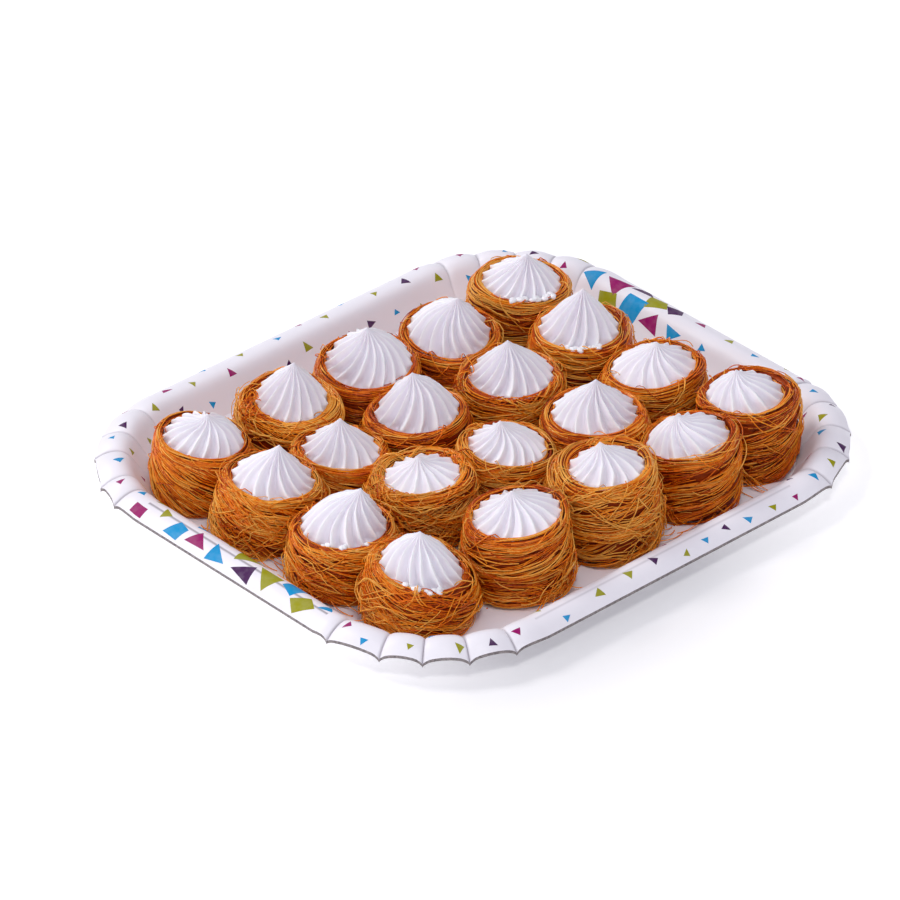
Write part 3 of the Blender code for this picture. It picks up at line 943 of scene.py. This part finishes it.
def cream_tree():
    """A piped swirl from a cone of radius 1: ridges run up a dome and turn towards its tip."""
    tree, given = shape_tree("pipe cream", {
        "Ridges": int, "Around": int, "Rings": int, "Seed": int, "Radius": float, "Lift": float,
        "Fullness": float, "Turn": float, "Tip x": float, "Tip y": float, "Groove": float,
        "Rise x": float, "Rise y": float, "Finish": str,
    })
    cone = put(tree, "GeometryNodeMeshCone", {
        "Vertices": given.around, "Side Segments": given.rings, "Radius Top": 0.0,
        "Radius Bottom": 1.0, "Depth": 1.0,
    })
    here_x, here_y, _ = put(tree, "GeometryNodeInputPosition").parts()
    seed = given.seed
    out = (here_x * here_x + here_y * here_y).math("SQRT")
    skirt = ((out - SKIRT) / (1 - SKIRT)).math("MAXIMUM", 0.0)
    above_skirt = 1.0 - skirt
    share = (out / SKIRT).math("MINIMUM", 1.0)
    left = 1.0 - share
    angle = here_y.math("ARCTAN2", here_x)
    around = angle * given.ridges
    ring = vector(here_x, here_y, seed)

    sway = ring.cloud(1.4) * RIDGE_SWAY
    wave = ((around + sway) * 0.5).math("SINE").math("ABSOLUTE")
    blunt = share.math("POWER", 3.0) * 0.3 + 0.1
    valley = wave.math("SMOOTH_MAX", 0.0, blunt)
    number = (around / (2 * math.pi)).math("ROUND")
    number = (number + given.ridges).math("MODULO", given.ridges)
    uneven = number.drawn(-RIDGE_UNEVEN, RIDGE_UNEVEN, seed + 1) + 1.0
    local = share * (GROOVE_TOP - share * (GROOVE_TOP - GROOVE_EDGE))
    cut = given.radius * local * valley * uneven * (1.0 - skirt * 0.8) * given.groove

    dome = 1.0 - share.math("POWER", given.fullness)
    steep = (share + 0.02).math("POWER", given.fullness - 1.0)
    fall = given.lift / given.radius * given.fullness * steep
    facing_up = (fall * fall + 1.0).math("INVERSE_SQRT")
    facing_out = fall * facing_up
    edge = share.math("POWER", 7.0) * above_skirt
    low = given.groove.math("POWER", 3.0)
    tips = edge * (SCALLOP * MM) * low * (0.5 - valley)
    swell = ring.cloud(1.7) * (1.4 * MM) * share + ring.cloud(5.0) * (0.9 * MM) * share
    spill = skirt * (CREAM_SPILL * MM)
    radius = given.radius * share + cut * facing_out * -1.0 + tips + spill + swell
    radius = radius.math("MAXIMUM", 0.0)

    peak = (1.0 - share / TIP_START).math("MAXIMUM", 0.0)
    pull = peak.math("POWER", 2.0) * (TIP_PULL * MM)
    bend = left.math("POWER", TIP_BEND)
    hook = given.turn.math("SIGN") * -HOOK * share.math("POWER", 4.0) * low
    heading = angle + given.turn * left + hook
    x = radius * heading.math("COSINE") + given.tip_x * bend
    y = radius * heading.math("SINE") + given.tip_y * bend
    plane = given.rise_x * x + given.rise_y * y
    down = skirt * (-(CREAM_DEPTH - CREAM_SINK) * MM)
    raised = edge * (EDGE_RAISE * MM) * low
    z = given.lift * dome + pull + plane + down + cut * facing_up * -1.0 + raised + tips * -0.25
    # The groove shape is kept for the material, which paints shade into the valleys.
    marked = stored(cone, "valley", valley)
    laid = put(tree, "GeometryNodeSetPosition", {"Geometry": marked, "Position": vector(x, y, z)})
    finish_tree(laid, given.finish)
    return tree


def cream_piece(name, number, tree, material):
    nest = NESTS[name]
    x, y = nest.x + nest.cream[0], nest.y + nest.cream[1]
    mesh = grown(tree, bpy.data.meshes.new("start"), {
        "Ridges": nest.ridges, "Around": nest.ridges * RIDGE_COLUMNS, "Rings": CREAM_ROWS,
        "Seed": SEED + number, "Radius": nest.wide * MM, "Lift": (nest.lift - TIP_PULL) * MM,
        "Fullness": float(nest.full), "Groove": min(1.0, nest.lift / FULL_LIFT),
        "Turn": math.radians(nest.turn), "Tip x": nest.tip[0] * MM, "Tip y": nest.tip[1] * MM,
        "Rise x": nest.rise[0] / nest.crest, "Rise y": nest.rise[1] / nest.crest, "Finish": material,
    })
    mesh.transform(Matrix.Translation(Vector((x, y, crest_height(nest, x, y) - CREAM_SINK)) * MM))
    piece(f"swirl_{name}", mesh, "cream", f"cream_{name}")


# Crumbs, loose ends and dabs of cream

def tray_top(x, y):
    """Height of the tray's upper face at a point."""
    over_x, over_y = abs(x) - HALF_X, abs(y) - HALF_Y
    outside = math.hypot(max(over_x, 0.0), max(over_y, 0.0))
    inset = TRAY_CORNER - outside - min(max(over_x, over_y), 0.0)
    return float(np.interp(inset, RIM_INSET, RIM_HEIGHT))


# Loose ends at the nests' feet: the nest, the angles between which they lie, and how many
TAILS = [
    ("d2", -95, -25, 5), ("d3", -75, -5, 6), ("d4", -125, -60, 4), ("d5", -165, -120, 8),
    ("d1", 150, 250, 12), ("c1", 150, 215, 10), ("b1", 150, 215, 8),
]
TAIL_POINTS = 12
TAIL_ROOT = 3.0  # a tail starts this far inside the nest's wall
TAIL_FAR = 4.5  # from the nest's wall to a tail's end, at most
TAIL_SWING = 21.0  # sideways
TAIL_THIN = 0.25
TAIL_TONE = 0.78
# Places where crumbs lie, from and to in x and in y, and the number tried
CRUMBS = [(-20, 95, -112, -106, 50), (-128, -120, -60, 60, 16), (-115, 115, -100, 90, 30)]
CRUMB = 0.75  # largest radius
CRUMB_TONE = 0.6
# Dabs on the crests: the nest, the angles and how many
DABS = [("a5", 200, 275, 16), ("b5", 205, 265, 14), ("c1", 200, 260, 7), ("d1", 195, 255, 10)]
DAB = 2.3
LUMP_FLAT = 0.7


def loose_ends(strands):
    rng = random.Random(SEED + 1)
    curve = bpy.data.curves.new("loose_ends", "CURVE")
    curve.dimensions = "3D"
    curve.bevel_depth = TAIL_THIN * MM
    curve.bevel_resolution = 0
    curve.use_fill_caps = True
    for name, first, last, count in TAILS:
        nest = NESTS[name]
        for _ in range(count):
            angle = math.radians(rng.uniform(first, last))
            out = Vector((math.cos(angle), math.sin(angle)))
            side = Vector((-out.y, out.x)) * rng.choice((-1, 1)) * rng.uniform(0.6, 1.0) * TAIL_SWING
            start = Vector((nest.x, nest.y)) + out * (nest.body - TAIL_ROOT)
            end = start + out * (TAIL_ROOT + rng.uniform(0.25, 1.0) * TAIL_FAR) + side
            middle = (start + end) / 2 + out * rng.uniform(0.0, 3.5) + side * rng.uniform(-0.2, 0.2)
            high = rng.uniform(3.0, 11.0)
            spline = curve.splines.new("POLY")
            spline.points.add(TAIL_POINTS - 1)
            for k, point in enumerate(spline.points):
                t = k / (TAIL_POINTS - 1)
                at = start * (1 - t) ** 2 + middle * 2 * t * (1 - t) + end * t**2
                height = tray_top(at.x, at.y) + STRAND + high * (1 - t) ** 2
                point.co = (at.x * MM, at.y * MM, height * MM, 1.0)
    mesh = settled(new_object("holder", curve))
    mesh.materials.append(strands)
    mark(mesh, "tone", [TAIL_TONE] * len(mesh.vertices))
    piece("loose_ends", mesh, "pastry")


def lumps(name, places, detail, material, slot):
    """Small uneven lumps as one mesh: each place is a point in mm and a radius."""
    bm = bmesh.new()
    for point, radius in places:
        made = bmesh.ops.create_icosphere(bm, subdivisions=detail, radius=radius * MM)
        for vert in made["verts"]:
            vert.co *= 1 + 0.5 * noise.noise(vert.co / (radius * MM) * 0.8 + Vector(point))
            vert.co.z *= LUMP_FLAT
            vert.co += Vector(point) * MM
    mesh = bpy.data.meshes.new(name)
    bm.to_mesh(mesh)
    bm.free()
    mesh.shade_smooth()
    mesh.materials.append(material)
    piece(name, mesh, slot)
    return mesh


def crumbs(strands):
    rng = random.Random(SEED + 2)
    places = []
    for low_x, high_x, low_y, high_y, count in CRUMBS:
        for _ in range(count):
            x, y = rng.uniform(low_x, high_x), rng.uniform(low_y, high_y)
            if all(math.hypot(x - nest.x, y - nest.y) > nest.body + 0.5 for nest in NESTS.values()):
                places.append(((x, y, tray_top(x, y) + 0.1), CRUMB * rng.uniform(0.35, 1.0)))
    mesh = lumps("crumbs", places, 1, strands, "pastry")
    mark(mesh, "tone", [CRUMB_TONE] * len(mesh.vertices))


def cream_dabs(cream):
    rng = random.Random(SEED + 3)
    places = []
    for name, first, last, count in DABS:
        nest = NESTS[name]
        for _ in range(count):
            angle = math.radians(rng.uniform(first, last))
            reach = nest.wide + rng.uniform(-0.4, 2.2)
            x = nest.x + nest.cream[0] + reach * math.cos(angle)
            y = nest.y + nest.cream[1] + reach * math.sin(angle)
            places.append(((x, y, crest_height(nest, x, y) - 0.5), DAB * rng.uniform(0.35, 1.0)))
    lumps("cream_dabs", places, 2, cream, "cream")


# Stage, lights and camera

SHADE_MIDDLE = (-40.0, -125.0, 0.0)  # the part of the floor that shows the tray's shadow
SHADE_SIZE = (110.0, 50.0, 1.0)
SHADE_GLOW = (0.12, 0.4)  # the floor's own light there and elsewhere
FLOOR_REACH = 6.0
DOME_WAY = (-0.42, 0.05, 0.9)  # the side from which the dome of light is brightest
DOME_DIM = 0.14
DOME_BRIGHT = 0.6


def stage():
    mesh = bpy.data.meshes.new("floor")
    corners = [(x * FLOOR_REACH, y * FLOOR_REACH, 0) for x, y in ((-1, -1), (1, -1), (1, 1), (-1, 1))]
    mesh.from_pydata(corners, [], [(0, 1, 2, 3)])
    material, tree, shader = finish("pale floor", 0.7, colour=(0.84, 0.84, 0.84))
    shader.inputs["Emission Color"].default_value = (1.0, 1.0, 1.0, 1.0)
    shift = vector_math("SUBTRACT", object_place(tree), Vector(SHADE_MIDDLE) * MM)
    far = vector_math("DIVIDE", shift, Vector(SHADE_SIZE) * MM)
    far = put(tree, "ShaderNodeVectorMath", {0: far}, "Value", operation="LENGTH")
    share = (far - 0.5).math("SMOOTH_MAX", 0.0, 0.1).math("SMOOTH_MIN", 1.0, 0.1)
    share.mix(*SHADE_GLOW).into(shader.inputs["Emission Strength"])
    mesh.materials.append(material)
    new_object("floor", mesh)


def area_light(name, place, size, power, colour):
    data = bpy.data.lights.new(name, "AREA")
    data.shape = "DISK"
    data.size = size
    data.energy = power
    data.color = colour
    light = new_object(name, data)
    light.location = place
    light.rotation_euler = (-Vector(place)).to_track_quat("-Z", "Y").to_euler()


def lights():
    area_light("key", (-0.9, 3.3, 3.1), 1.3, 66.0, (1.0, 0.985, 0.97))
    area_light("top", (-0.9, -1.5, 4.0), 1.2, 42.0, (1.0, 0.985, 0.98))
    area_light("fill", (-3.4, 0.5, 1.2), 1.3, 19.0, (1.0, 0.99, 1.0))
    world = bpy.data.worlds.new("studio")
    world.use_nodes = True
    tree = world.node_tree
    way = put(tree, "ShaderNodeTexCoord", output="Generated")
    facing = vector_math("DOT_PRODUCT", way, DOME_WAY, "Value")
    share = facing.math("MULTIPLY_ADD", 0.5, 0.5)
    back = tree.nodes["Background"]
    back.inputs["Color"].default_value = (0.93, 0.92, 1.05, 1.0)
    share.mix(DOME_DIM, DOME_BRIGHT).into(back.inputs["Strength"])
    bpy.context.scene.world = world


def camera():
    azimuth, elevation = math.radians(CAMERA_AZIMUTH), math.radians(CAMERA_ELEVATION)
    level = math.cos(elevation)
    back = Vector((math.sin(azimuth) * level, -math.cos(azimuth) * level, math.sin(elevation)))
    data = bpy.data.cameras.new("camera")
    data.lens = CAMERA_LENS
    made = new_object("camera", data)
    made.location = (Vector(CAMERA_AIM) + back * CAMERA_DISTANCE) * MM
    made.rotation_euler = back.to_track_quat("Z", "Y").to_euler()
    bpy.context.scene.camera = made


camera()
lights()
stage()
tray_piece()
print_pieces()
winding = winding_tree()
swirl = cream_tree()
strands, core, cream = strand_finish(), shaded_core_finish(), cream_finish()
for number, name in enumerate(NESTS):
    nest_piece(name, number, winding, strands, core)
    cream_piece(name, number, swirl, cream)
loose_ends(strands)
crumbs(strands)
cream_dabs(cream)
bpy.context.scene.view_settings.view_transform = "Standard"
